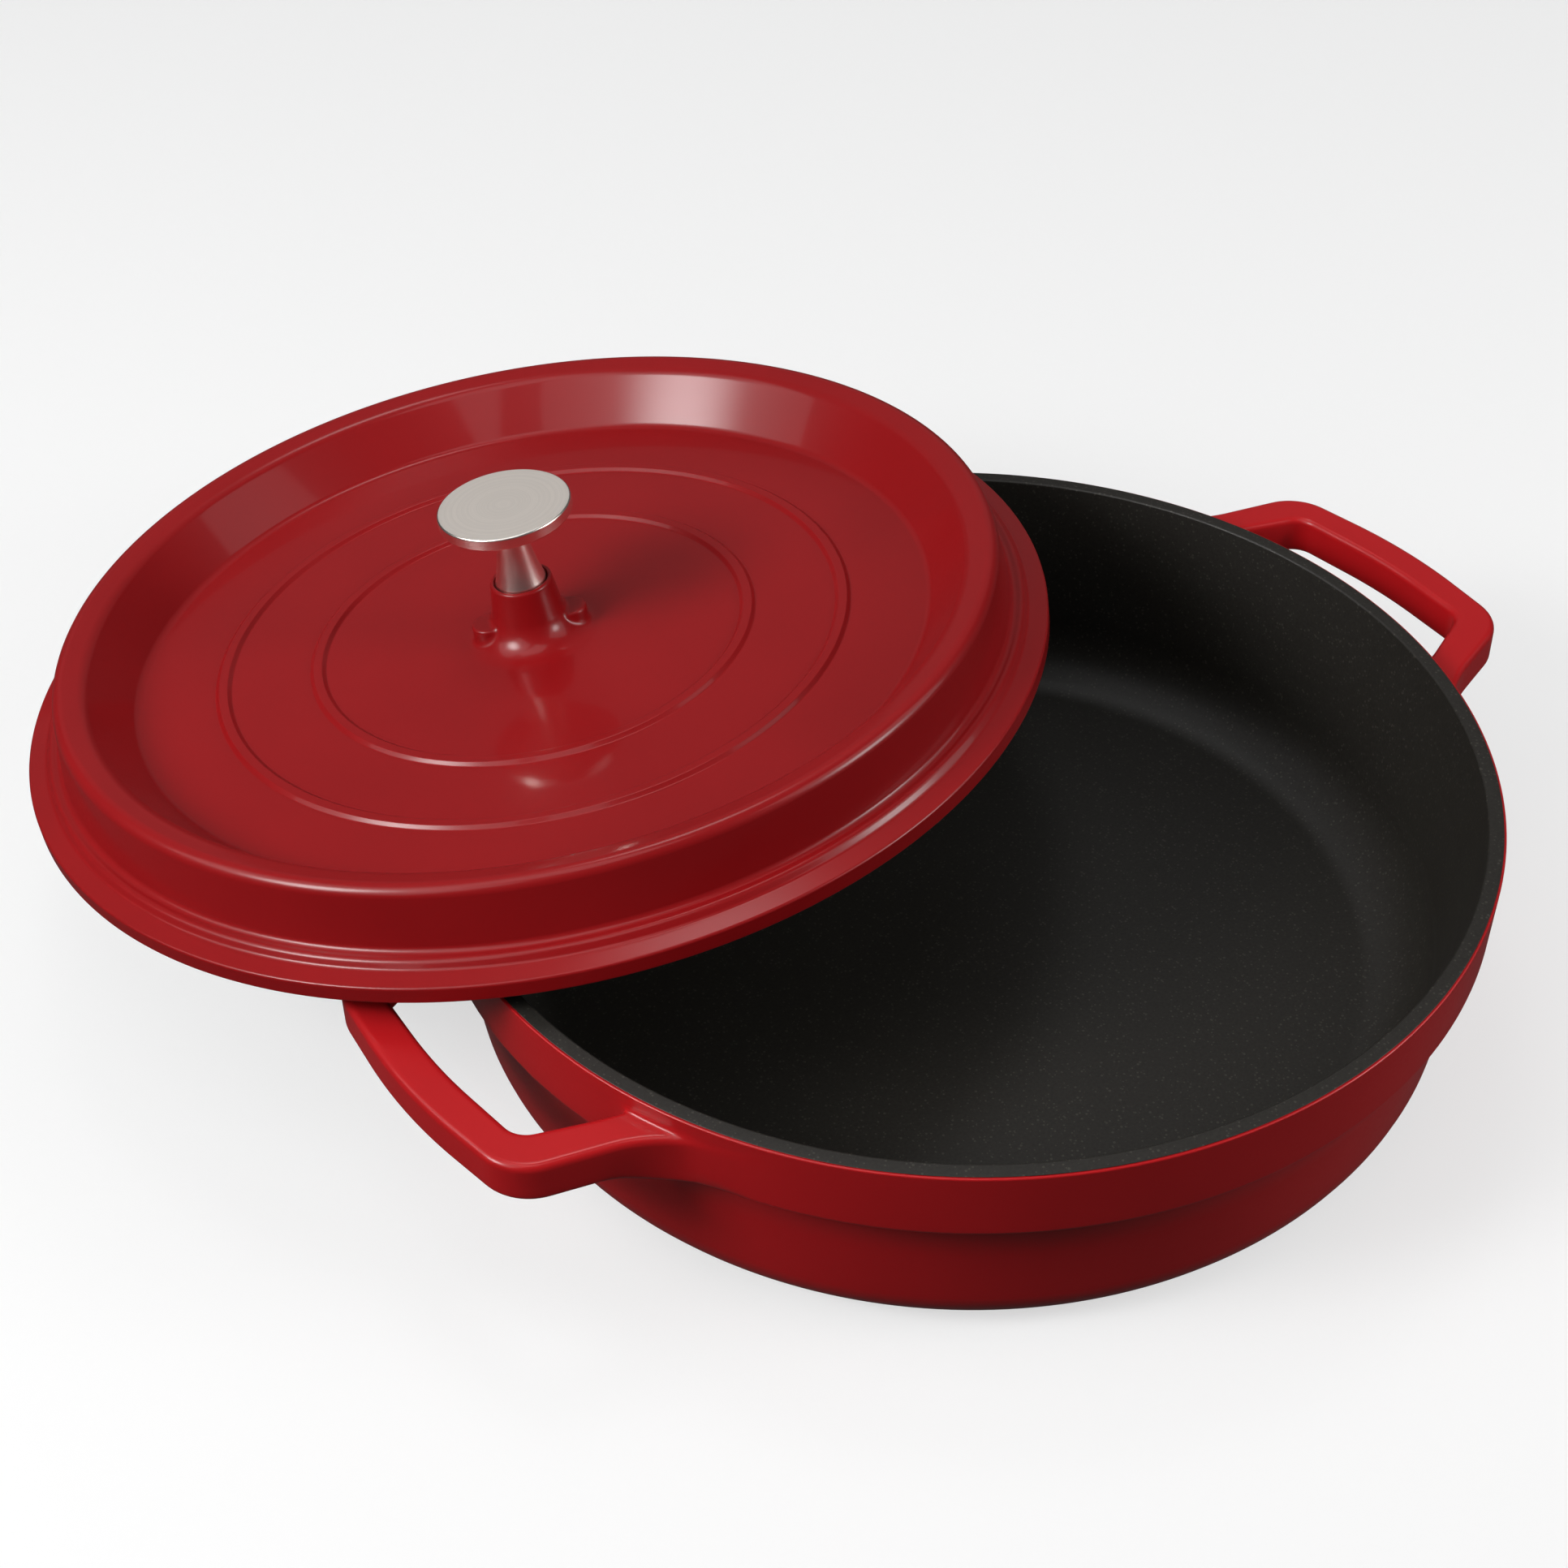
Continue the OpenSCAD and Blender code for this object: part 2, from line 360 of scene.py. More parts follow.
# The painted outside in three runs, so that the handles' roots have rows of their own on the band
root_row_r = rim_r - 2.4
root_top_z = vessel_h - handle_drop + handle_fillet + 0.4
below_band = rounded([
    [0, plate_t],
    [plate_r + 0.05, plate_t],
    [plate_r + 0.05, 0.3],
    [plate_r + 0.35, 0],
    [base_r + base_corner, 0, base_corner],
    [rim_r - 7.2, vessel_h / 2 + 1, 60],
    [rim_r - band_step, band_z, 1.2],
    [root_row_r, band_z],
])
band_foot = rounded([
    [root_row_r, band_z], [rim_r - band_lean, band_z, 1.4], [wall_r(root_top_z), root_top_z],
], turn=15)
wall_rows = crowded(12)[1:, None]
wall_rise = (band_foot[-1] - band_foot[-2]) * wall_rows
band_side = np.vstack([band_foot[:-1], band_foot[-2] + wall_rise])
above_roots = rounded([
    [wall_r(root_top_z), root_top_z],
    [rim_r, vessel_h - coat_t / 2, 0.45],
    [rim_r - 0.7, vessel_h - coat_t + 0.02],
])
first_root_row = len(below_band) - 1
last_root_row = first_root_row + len(band_side) - 1
side_steps = len(band_side) - 1

# Outlines of one loop, seen from above, from its root at the wall to its middle
big_arc = 150
flare = 34
outer_half = [
    polar(rim_r - 6, root_angle + 7),
    polar(rim_r - 0.8, root_angle),
    [rim_r - 9.1, loop_half + 11.5, flare],
    [handle_reach - 4.2, loop_half, 15],
]
hole_half = [
    [rim_r - 20, loop_half + 4.5],
    [rim_r + 1.5, loop_half - 2.8, 20],
    [handle_reach - bar_w - 1.8, loop_half - 9.8, 7],
]


def mirrored(points):
    return [[p[0], -p[1], *p[2:]] for p in reversed(points)]


def loop_path(half, middle_x):
    """A whole outline of a loop; the big arc at its middle bows the bar slightly outwards."""
    return rounded([*half, [middle_x, 0, big_arc], *mirrored(half)], turn=3, chord=1.5)


outer_middle_x = handle_reach + 1.3
hole_middle_x = handle_reach - bar_w + 1
outer_path = loop_path(outer_half, outer_middle_x)
hole_path = loop_path(hole_half, hole_middle_x)
handle_top = vessel_h - handle_drop
bar_under = handle_top - bar_h


def handle_under(r):
    """Height of the underside, which goes from the band's foot at the wall to the bar's own underside."""
    wait = 0.5
    run = 13
    return band_z + (bar_under - band_z) * eased((r - rim_r - wait) / run)


# The wall's upper part as a closed section, filled inwards well past the wall
section_foot = 30
section_r = rim_r - 30
band_section = np.vstack([
    [[section_r, section_foot]],
    below_band[below_band[:, 1] > section_foot],
    band_side[1:],
    above_roots[1:],
    [[section_r, vessel_h]],
])


def vessel_distance(points):
    """Signed distance to the wall and the eastern handle together.

    The fillet between them fades out towards the band's foot, where the handle's underside meets its edge.
    """
    fade_over = 4
    r = np.hypot(points[:, 0], points[:, 1])
    wall = polygon_distance(np.stack([r, points[:, 2]], axis=1), band_section)
    within = polygon_distance(points[:, :2], outer_path)
    plan = np.maximum(within, -polygon_distance(points[:, :2], hole_path))
    height = np.maximum(points[:, 2] - handle_top, handle_under(r) - points[:, 2])
    fillet = handle_fillet * np.clip((points[:, 2] - band_z) / fade_over, 0.01, 1)
    return joined(wall, rounded_slab(plan, height, handle_edge), fillet)


def crossing(path, r):
    """How far along a path its distance from the axis first passes r."""
    radii = np.hypot(path[:, 0], path[:, 1])
    i = int(np.argmax(radii > r))
    share = (r - radii[i - 1]) / (radii[i] - radii[i - 1])
    run = lengths(path)
    return run[i - 1] + share * (run[i] - run[i - 1])


def corner_run(half, middle_x):
    """Where along a loop's path the arc of its last corner begins and ends."""
    corner = np.array(half[-1][:2])
    radius = half[-1][2]
    up_to_corner = lengths(rounded([*half[:-1], corner], turn=3, chord=1.5))[-1]
    before = unit(corner - np.array(half[-2][:2]))
    after = unit(np.array([middle_x, 0]) - corner)
    bend = math.acos(before @ after)
    begin = up_to_corner - radius * math.tan(bend / 2)
    return begin, begin + radius * bend


def station_runs(path, half, middle_x):
    """Distances along one outline at which the handle's rings cross it, from the wall to the middle."""
    near = [crossing(path, rim_r + gap) for gap in wall_gaps]
    begin, end = corner_run(half, middle_x)
    middle = lengths(path)[-1] / 2
    return np.concatenate([
        near, steps_to(near[-1], begin, 12), steps_to(begin, end, 14), steps_to(end, middle, 18),
    ])


# A ring has as many steps down its sides as the wall has rows at the root, and 20 across
across = crowded(20)
down = crowded(side_steps)

# How far out from the wall the first rings stand, and between which angles a root opens the wall
wall_gaps = (0.12, 0.4, 0.8, 1.3, 1.9, 2.6, 3.4, 4.3, 5.3, 6.5)
outer_angle = 30.2
hole_angle = 14.6


def ring_plan(outer_point, hole_point, straightness):
    """Points across one ring: along a circle round the vessel's axis, or straight, or between the two."""
    ends = np.array([outer_point, hole_point])
    radii = np.hypot(ends[:, 0], ends[:, 1])
    angles = np.arctan2(ends[:, 1], ends[:, 0])
    r = radii[0] + (radii[1] - radii[0]) * across
    a = angles[0] + (angles[1] - angles[0]) * across
    curved = np.stack([r * np.cos(a), r * np.sin(a)], axis=1)
    straight = ends[0] + (ends[1] - ends[0]) * across[:, None]
    return curved + (straight - curved) * straightness


def ring_loop(top, under, down_outer, down_hole):
    """One closed ring: across the top, down the hole's side, back under, up the outer side."""
    return np.vstack([top, down_hole[1:-1], under[::-1], down_outer[1:-1][::-1]])


def section_ring(plan):
    """The square-edged ring over one line across the bar; its edges are rounded later."""
    radii = np.hypot(plan[:, 0], plan[:, 1])
    top = np.column_stack([plan, np.full(len(plan), handle_top)])
    under = np.column_stack([plan, handle_under(radii)])
    outer_side = top[0] + (under[0] - top[0]) * down[:, None]
    hole_side = top[-1] + (under[-1] - top[-1]) * down[:, None]
    return ring_loop(top, under, outer_side, hole_side)


def handle_rings():
    """All rings of the eastern handle between its roots, curved like the wall near it, then straight."""
    curved_rings = len(wall_gaps)
    turning_rings = 7
    outer_points = along(outer_path, station_runs(outer_path, outer_half, outer_middle_x))
    hole_points = along(hole_path, station_runs(hole_path, hole_half, hole_middle_x))
    straightness = eased((np.arange(len(outer_points)) - curved_rings) / turning_rings)
    half = np.array([section_ring(ring_plan(*one)) for one in zip(outer_points, hole_points, straightness)])
    other = half[:-1][::-1] * [1, -1, 1]
    return np.concatenate([half, other])


def relaxed(rings, distance, rounds=6):
    """Evens out the rings' points between fixed end rings, along the surface."""
    pull = 0.4
    for _ in range(rounds):
        mean = (np.roll(rings, 1, axis=1) + np.roll(rings, -1, axis=1)) / 2
        mean[1:-1] = (mean[1:-1] + (rings[:-2] + rings[2:]) / 2) / 2
        rings[1:-1] += pull * (mean - rings)[1:-1]
        flat = rings[1:-1].reshape(-1, 3)
        rings[1:-1] = settled(flat, distance, rounds=2).reshape(rings[1:-1].shape)
    return rings


def vessel_angles():
    """Column angles in degrees, with a crowded run at each handle's root."""
    quarter = np.concatenate([
        np.linspace(0, hole_angle, 11)[:-1],
        np.sort(outer_angle + (hole_angle - outer_angle) * across),
        np.linspace(outer_angle, 90, 41)[1:],
    ])
    half = np.concatenate([quarter, 180 - quarter[:-1][::-1]])
    return np.concatenate([half, 360 - half[1:-1][::-1]])


def column_of(angles, angle):
    """The column that stands at that angle, in degrees."""
    return int(np.argmin(np.abs((angles - angle + 180) % 360 - 180)))


def root_edge(grid, angles, side, east):
    """Numbers of the points round one handle's root on the wall, in the order of a ring's points.

    side is 1 for the root towards +Y and -1 for the other. The columns of faces inside the root come second.
    """
    root_angles = side * (outer_angle + (hole_angle - outer_angle) * across)
    if not east:
        root_angles = 180 - root_angles
    columns = [column_of(angles, a) for a in root_angles]
    rows = np.arange(last_root_row, first_root_row - 1, -1)
    edge = np.concatenate([
        grid[last_root_row, columns],
        grid[rows[1:-1], columns[-1]],
        grid[first_root_row, columns[::-1]],
        grid[rows[1:-1][::-1], columns[0]],
    ])
    inner = [min(c, d) if abs(c - d) == 1 else max(c, d) for c, d in zip(columns, columns[1:])]
    return edge, inner


def eastern_handle(ends):
    """The eastern handle's rings between its two end rings on the wall, with all edges rounded."""
    between = handle_rings()
    between = settled(between.reshape(-1, 3), vessel_distance).reshape(between.shape)
    return relaxed(np.concatenate([ends[:1], between, ends[1:]]), vessel_distance)[1:-1]


def vessel_cage():
    """The whole painted casting: the turned wall, opened at the roots, and a handle grown from each pair."""
    angles = vessel_angles()
    inner = shifted(coated, coat_t)[2:]
    profile = np.vstack([below_band, band_side[1:], above_roots[1:], inner])
    cage = Cage()
    grid = cage.add(spun(profile, np.radians(angles)))
    skip = np.zeros(grid.shape, bool)
    roots = {east: [root_edge(grid, angles, side, east) for side in (1, -1)] for east in (True, False)}
    between = eastern_handle([cage.points[edge] for edge, _ in roots[True]])
    for east, ((first, first_columns), (last, last_columns)) in roots.items():
        mirror = np.array([1 if east else -1, 1, 1])
        skip[first_root_row:last_root_row, first_columns + last_columns] = True
        cage.skin(np.vstack([[first], cage.add(between * mirror), [last]]))
    cage.skin(grid, skip=skip)
    return cage


# ---- Lid: drawn level, with the top of its flange's edge at zero ----

def ring_section(r):
    """One raised ring of the sunken top, 4.6 wide at its foot and 2.4 on top."""
    foot = 2.3
    crown = 1.2
    return [
        [r - foot, basin_h, 0.7], [r - crown, basin_h + ring_h, 0.5],
        [r + crown, basin_h + ring_h, 0.5], [r + foot, basin_h, 0.7],
    ]


flange_under = -flange_t
under_floor = basin_h - lid_t
flare_reach = 30
boss_flare_path = rounded([
    [boss_r - 0.8, boss_h], [boss_r, boss_h, 0.8],
    [boss_r + 2.4, basin_h, boss_flare], [flare_reach, basin_h],
], turn=5, chord=0.6)
flare_end = 24.0
lid_top = rounded([
    [flare_end, basin_h],
    *[p for r in ring_radii for p in ring_section(r)],
    [basin_r, basin_h, 3],
    [basin_r + 11.4, crest_h - 1.9, 5],
    [basin_r + 19.9, crest_h, 3.2],
    [basin_r + 22.4, 3.2, 1.8],
    [basin_r + 25.6, 3.5, 1.8],
    [basin_r + 27, 1.3, 1.4],
    [lid_r, 0, flange_top_edge],
    [lid_r, flange_under + 0.1, flange_low_edge],
    [lid_r - 0.6, flange_under],
])
locator_r = rim_r - rim_w - 1.6
lid_under = rounded([
    [lid_r - 0.6, flange_under],
    [locator_r, flange_under, 0.5],
    [locator_r - 0.3, flange_under - locator_h, 1],
    [locator_r - 4, flange_under - locator_h, 1],
    [basin_r + 16.2, crest_h - lid_t - 0.6, 2.5],
    [basin_r + 12.6, crest_h - lid_t - 1.6, 2],
    [basin_r + 2.6, under_floor, 4],
    [recess_r + 1.4, under_floor],
])


def lid_distance(points):
    """Signed distance to the boss and its two ears together."""
    section = np.vstack([boss_flare_path, [[flare_reach, 0], [0, 0], [0, boss_h]]])
    r = np.hypot(points[:, 0], points[:, 1])
    boss = polygon_distance(np.stack([r, points[:, 2]], axis=1), section)
    c, s = math.cos(ear_turn), math.sin(ear_turn)
    along_ears = np.abs(points[:, 0] * c + points[:, 1] * s)
    beside = points[:, 1] * c - points[:, 0] * s
    plan = np.hypot(along_ears - ear_x, beside) - ear_r
    ear = rounded_slab(plan, points[:, 2] - ear_h, ear_edge)
    return joined(boss, ear, ear_fillet)


def boss_column(angle, count):
    """The boss's and ears' outline at one angle, before their edges and fillets are rounded."""
    flare_path = boss_flare_path
    beside = abs(math.remainder(angle - ear_turn, math.pi))
    inside = ear_r ** 2 - (ear_x * math.sin(beside)) ** 2
    reach = ear_x * math.cos(beside) + math.sqrt(inside) if inside > 0 and beside < 1 else 0
    at_top = np.interp(-ear_h, -flare_path[:, 1], flare_path[:, 0])
    if reach > at_top:
        level = np.interp(reach, flare_path[:, 0], flare_path[:, 1])
        upper = flare_path[flare_path[:, 1] > ear_h]
        lower = flare_path[(flare_path[:, 0] > reach) & (flare_path[:, 1] < ear_h)]
        flare_path = np.vstack([upper, [[at_top, ear_h], [reach, ear_h], [reach, level]], lower])
    flare_path = np.vstack([flare_path[flare_path[:, 0] < flare_end - 0.01], [[flare_end, basin_h]]])
    return along(flare_path, lengths(flare_path)[-1] * np.arange(count) / (count - 1))


def lid_cage():
    """The whole painted casting of the lid, with its boss, ears, socket and screw recess."""
    angles = full_turn(FINE_TURN)
    boss = np.array([boss_column(a, 72) for a in angles]).transpose(1, 0, 2)
    turned = np.stack([
        boss[..., 0] * np.cos(angles), boss[..., 0] * np.sin(angles), boss[..., 1],
    ], axis=-1)
    # The rows of the mouth's rounded edge stay as they are turned
    mouth = 7
    flat = turned[mouth:-1].reshape(-1, 3)
    turned[mouth:-1] = settled(flat, lid_distance).reshape(turned[mouth:-1].shape)
    turned[mouth - 1:] = relaxed(turned[mouth - 1:], lid_distance, rounds=4)
    inside = shifted(lid_under, -coat_t)
    under = rounded([
        lid_under[-1], [recess_r + 0.3, under_floor], [recess_r, under_floor + 0.3], [recess_r, web_under],
        [screw_r + 0.4, web_under], [screw_r + 0.4, socket_floor], [socket_r, socket_floor, 0.5],
        [socket_r, boss_h, 0.35], [boss_r - 0.8, boss_h],
    ])[:-1]
    rest = spun(np.vstack([lid_top[1:], inside, under]), angles)
    cage = Cage()
    grid = cage.add(np.concatenate([turned, rest]))
    cage.skin(grid, round_rows=True)
    return cage


# ---- Knob and its fixing ----

def knob_profile():
    """The turned knob: its screw bore, its foot in the socket, the flared stem and the disc."""
    stem_foot = boss_h - 0.4
    waist = knob_h - disc_t - 1.6
    rise = np.arange(25) / 24
    flare_power = 1.9
    sweep = np.column_stack([
        waist_r + (foot_r - waist_r) * (1 - rise) ** flare_power, stem_foot + (waist - stem_foot) * rise,
    ])
    bore_end = 30.9
    foot = socket_floor + 1
    below = rounded([
        [0, bore_end + 1.2], [screw_r - 0.4, bore_end], [screw_r - 0.4, foot + 0.6], [screw_r, foot],
        [foot_r, foot, 0.3], [foot_r, stem_foot - 0.3],
    ])
    above = rounded([
        [waist_r + 0.05, waist + 0.3], [waist_r + 0.3, knob_h - disc_t, 1.6],
        [knob_r, knob_h - disc_t + 0.25, 0.7], [knob_r, knob_h, 0.6], [0, knob_h],
    ], turn=7, chord=1.5)
    return np.vstack([below, sweep, above])


def washer_profile(outer_r, inner_r, z, thickness, edge):
    return rounded([
        [(outer_r + inner_r) / 2, z], [outer_r, z, edge], [outer_r, z + thickness, edge],
        [inner_r, z + thickness, edge], [inner_r, z, edge], [(outer_r + inner_r) / 2, z],
    ], turn=20)[:-1]


flat_washer_t = 1
spring_washer_t = 1.3
head_h = 3.4
head_top = web_under - flat_washer_t - spring_washer_t
screw_l = 18


def screw_cage():
    """Head with a hexagonal socket, and a shank with a real M5 thread."""
    angles = full_turn(96)
    head_r = 4.5
    hex_r = 2.3
    under = head_top - head_h
    to_flat = math.cos(math.pi / 6) / np.cos(angles % (math.pi / 3) - math.pi / 6)
    socket = [
        (0, under + 2.9, 1), (hex_r, under + 2.2, 1), (hex_r, under + 0.25, 1), (hex_r + 0.15, under, 0),
    ]
    cage = Cage()
    rows = []
    for r, z, share in socket:
        radius = r * (1 - share + share * to_flat)
        rows.append(np.stack([radius * np.cos(angles), radius * np.sin(angles), z + 0 * angles], axis=-1))
    head = rounded([
        [hex_r + 0.3, under], [head_r, under, 0.7], [head_r, head_top, 0.25],
        [thread_r, head_top], [thread_r, head_top + 0.6],
    ], turn=15)
    rows.extend(spun(head, angles))
    pitch = 0.8
    painted_light_scale = 0.42
    for z in np.arange(head_top + 1.0, head_top + screw_l - 0.9, 0.1):
        phase = ((z - head_top) / pitch - angles / FULL) % 1
        fade = min(1, (z - head_top - 0.9) / 0.8, (head_top + screw_l - 0.8 - z) / 0.8)
        radius = thread_r - painted_light_scale * fade * eased(1 - np.abs(2 * phase - 1))
        rows.append(np.stack([radius * np.cos(angles), radius * np.sin(angles), z + 0 * angles], axis=-1))
    tip = np.array([[2.3, head_top + screw_l - 0.6], [1.8, head_top + screw_l], [0, head_top + screw_l]])
    rows.extend(spun(tip, angles))
    cage.skin(cage.add(np.array(rows)))
    return cage


def spring_washer_cage():
    """A split washer pressed flat, its slit cut square."""
    outer_r = 4.6
    slit = 0.8 / outer_r
    start = math.radians(40)
    angles = start + slit / 2 + (FULL - slit) * np.arange(121) / 120
    section = washer_profile(outer_r, screw_r + 0.15, head_top, spring_washer_t, 0.15)
    cage = Cage()
    grid = cage.add(spun(section, angles))
    cage.skin(grid, round_rows=True, round_columns=False)
    cage.faces.append(tuple(grid[:, 0]))
    cage.faces.append(tuple(grid[::-1, -1]))
    return cage


def plate_profile():
    """A turned steel disc with a fine groove every few millimetres on its underside."""
    groove = 0.12
    half_width = 0.5
    pitch = 4
    face = [[0, 0]]
    for r in np.arange(10, plate_r - 3, pitch):
        face.extend([[r - half_width, 0], [r, groove], [r + half_width, 0]])
    face.extend([[plate_r - 0.4, 0], [plate_r, 0.3], [plate_r, plate_t], [0, plate_t]])
    return np.array(face, float)


# ---- Materials ----

def new_material(name):
    made = bpy.data.materials.new(name)
    made.use_nodes = True
    nodes = made.node_tree.nodes
    return made, nodes, made.node_tree.links, nodes["Principled BSDF"]


def noise(nodes, links, coordinates, scale, detail, roughness=0.5):
    texture = nodes.new("ShaderNodeTexNoise")
    texture.inputs["Scale"].default_value = scale
    texture.inputs["Detail"].default_value = detail
    texture.inputs["Roughness"].default_value = roughness
    links.new(coordinates, texture.inputs["Vector"])
    return texture.outputs["Fac"]


def ramp(nodes, links, value, stops):
    made = nodes.new("ShaderNodeValToRGB")
    elements = made.color_ramp.elements
    elements[0].position, elements[0].color = stops[0][0], (*stops[0][1], 1)
    elements[1].position, elements[1].color = stops[-1][0], (*stops[-1][1], 1)
    for position, colour in stops[1:-1]:
        elements.new(position).color = (*colour, 1)
    links.new(value, made.inputs["Fac"])
    return made.outputs["Color"]


def span(nodes, links, value, low, high, from_low=0.0, from_high=1.0, blend="LINEAR"):
    """A value carried from one range to another and held at its ends."""
    made = nodes.new("ShaderNodeMapRange")
    made.interpolation_type = blend
    made.inputs["From Min"].default_value = from_low
    made.inputs["From Max"].default_value = from_high
    made.inputs["To Min"].default_value = low
    made.inputs["To Max"].default_value = high
    links.new(value, made.inputs["Value"])
    return made.outputs["Result"]


def bump(nodes, links, height, distance, strength):
    made = nodes.new("ShaderNodeBump")
    made.inputs["Strength"].default_value = strength
    made.inputs["Distance"].default_value = distance
    links.new(height, made.inputs["Height"])
    return made.outputs["Normal"]


def object_coordinates(nodes):
    return nodes.new("ShaderNodeTexCoord").outputs["Object"]


def enamel(name, painted_light_scale):
    """Glossy red enamel: a clear coat with a slight orange peel over red with faint clouds and a fine grain.

    The scale factor makes lit and shaded copies of the one enamel: a lighter red is painted light, a deeper
    red is painted shade.
    """
    made, nodes, links, shader = new_material(name)
    where = object_coordinates(nodes)
    clouds = noise(nodes, links, where, 18, 3)
    # The red is scaled up or down here: painted light or painted shade on this copy of the enamel
    deep = tuple(c * painted_light_scale for c in (0.315, 0.0058, 0.0076))
    light = tuple(c * painted_light_scale for c in (0.350, 0.0072, 0.0092))
    links.new(ramp(nodes, links, clouds, [(0.3, deep), (0.7, light)]), shader.inputs["Base Color"])
    grain = noise(nodes, links, where, 900, 2)
    links.new(span(nodes, links, grain, 0.30, 0.38), shader.inputs["Roughness"])
    peel = bump(nodes, links, noise(nodes, links, where, 260, 2), 0.00002, 0.35)
    links.new(peel, shader.inputs["Coat Normal"])
    links.new(bump(nodes, links, grain, 0.00002, 0.4), shader.inputs["Normal"])
    shader.inputs["Coat Weight"].default_value = 0.4
    shader.inputs["Coat Roughness"].default_value = 0.07
    shader.inputs["Coat IOR"].default_value = 1.45
    shader.inputs["Specular IOR Level"].default_value = 0.2
    return made


def flecks(nodes, links, where, scale):
    """Round flecks of many sizes, one in most cells of a fine pattern: 1 inside and 0 between them."""
    cells = nodes.new("ShaderNodeTexVoronoi")
    cells.inputs["Scale"].default_value = scale
    links.new(where, cells.inputs["Vector"])
    lottery = nodes.new("ShaderNodeSeparateColor")
    links.new(cells.outputs["Color"], lottery.inputs["Color"])
    size = span(nodes, links, lottery.outputs["Red"], 0.0, 0.42, 0.15, 1.0)
    inside = nodes.new("ShaderNodeMath")
    inside.operation = "SUBTRACT"
    links.new(size, inside.inputs[0])
    links.new(cells.outputs["Distance"], inside.inputs[1])
    return span(nodes, links, inside.outputs["Value"], 0.0, 1.0, 0.0, 0.12)


def nonstick():
    """Dark sprayed coating with a soft grain and faint lighter flecks."""
    made, nodes, links, shader = new_material("nonstick_dark")
    where = object_coordinates(nodes)
    dark = (0.0135, 0.0119, 0.0097)
    less_dark = (0.0205, 0.0184, 0.0153)
    fleck_colour = (0.046, 0.042, 0.035)
    grain = noise(nodes, links, where, 1100, 3, 0.6)
    blotch = noise(nodes, links, where, 30, 2)
    mixed = nodes.new("ShaderNodeMixRGB")
    links.new(flecks(nodes, links, where, 950), mixed.inputs["Fac"])
    links.new(ramp(nodes, links, grain, [(0.35, dark), (0.65, less_dark)]), mixed.inputs["Color1"])
    mixed.inputs["Color2"].default_value = (*fleck_colour, 1)
    links.new(mixed.outputs["Color"], shader.inputs["Base Color"])
    links.new(span(nodes, links, blotch, 0.43, 0.50), shader.inputs["Roughness"])
    links.new(bump(nodes, links, grain, 0.00005, 0.5), shader.inputs["Normal"])
    shader.inputs["Specular IOR Level"].default_value = 0.38
    return made


def brushed(name, colour, rough, across_scale, anisotropic=0.6):
    """Steel brushed round its axis: fine rings by distance from the axis and by height."""
    made, nodes, links, shader = new_material(name)
    where = object_coordinates(nodes)
    apart = nodes.new("ShaderNodeSeparateXYZ")
    links.new(where, apart.inputs["Vector"])
    flat = nodes.new("ShaderNodeCombineXYZ")
    links.new(apart.outputs["X"], flat.inputs["X"])
    links.new(apart.outputs["Y"], flat.inputs["Y"])
    length = nodes.new("ShaderNodeVectorMath")
    length.operation = "LENGTH"
    links.new(flat.outputs["Vector"], length.inputs[0])
    ring = nodes.new("ShaderNodeCombineXYZ")
    links.new(length.outputs["Value"], ring.inputs["X"])
    links.new(apart.outputs["Z"], ring.inputs["Y"])
    lines = noise(nodes, links, ring.outputs["Vector"], across_scale, 3, 0.7)
    cloud = noise(nodes, links, where, 60, 2)
    pale = tuple(c * 1.06 for c in colour)
    links.new(ramp(nodes, links, lines, [(0.35, colour), (0.65, pale)]), shader.inputs["Base Color"])
    links.new(span(nodes, links, cloud, rough - 0.03, rough + 0.03), shader.inputs["Roughness"])
    links.new(bump(nodes, links, lines, 0.00001, 0.5), shader.inputs["Normal"])
    tangent = nodes.new("ShaderNodeTangent")
    tangent.direction_type = "RADIAL"
    tangent.axis = "Z"
    links.new(tangent.outputs["Tangent"], shader.inputs["Tangent"])
    shader.inputs["Metallic"].default_value = 1
    shader.inputs["Anisotropic"].default_value = anisotropic
    return made


def knob_metal():
    """The knob's steel: the disc's top is blasted matt, and its side and the stem are finer turned."""
    made = brushed("knob_steel", (0.90, 0.84, 0.785), 0.3, 2600, 0.0)
    nodes, links = made.node_tree.nodes, made.node_tree.links
    facing = nodes.new("ShaderNodeSeparateXYZ")
    links.new(nodes.new("ShaderNodeTexCoord").outputs["Normal"], facing.inputs["Vector"])
    rough = span(nodes, links, facing.outputs["Z"], 0.27, 0.62, 0.9, 0.995)
    links.new(rough, nodes["Principled BSDF"].inputs["Roughness"])
    return made


def rubber():
    made, nodes, links, shader = new_material("seat_rubber")
    where = object_coordinates(nodes)
    dark = (0.012, 0.012, 0.012)
    less_dark = (0.022, 0.021, 0.020)
    grain = noise(nodes, links, where, 700, 2)
    links.new(ramp(nodes, links, grain, [(0.3, dark), (0.7, less_dark)]), shader.inputs["Base Color"])
    links.new(span(nodes, links, grain, 0.6, 0.75), shader.inputs["Roughness"])
    links.new(bump(nodes, links, grain, 0.00003, 0.4), shader.inputs["Normal"])
    return made


# One enamel in two copies: the vessel's lighter red is painted light, the lid's deeper red is painted shade
vessel_red_painted_lit = enamel("vessel_red_painted_lit", 1.32)
lid_red_painted_shade = enamel("lid_red_painted_shade", 0.82)
nonstick_dark = nonstick()
knob_steel = knob_metal()
plate_steel = brushed("plate_steel", (0.50, 0.49, 0.47), 0.32, 1500)
fixing_steel = brushed("fixing_steel", (0.48, 0.48, 0.48), 0.3, 3000)
seat_rubber = rubber()


# ---- Pieces ----

lid_at_rest = lid_place()


def on_vessel(nodes, slot, material):
    return {"nodes": nodes, "body": "vessel_body", "slot": slot, "material": material}


def on_lid(nodes, slot, material):
    return {"nodes": nodes, "body": "lid_body", "slot": slot, "material": material, "place": lid_at_rest}


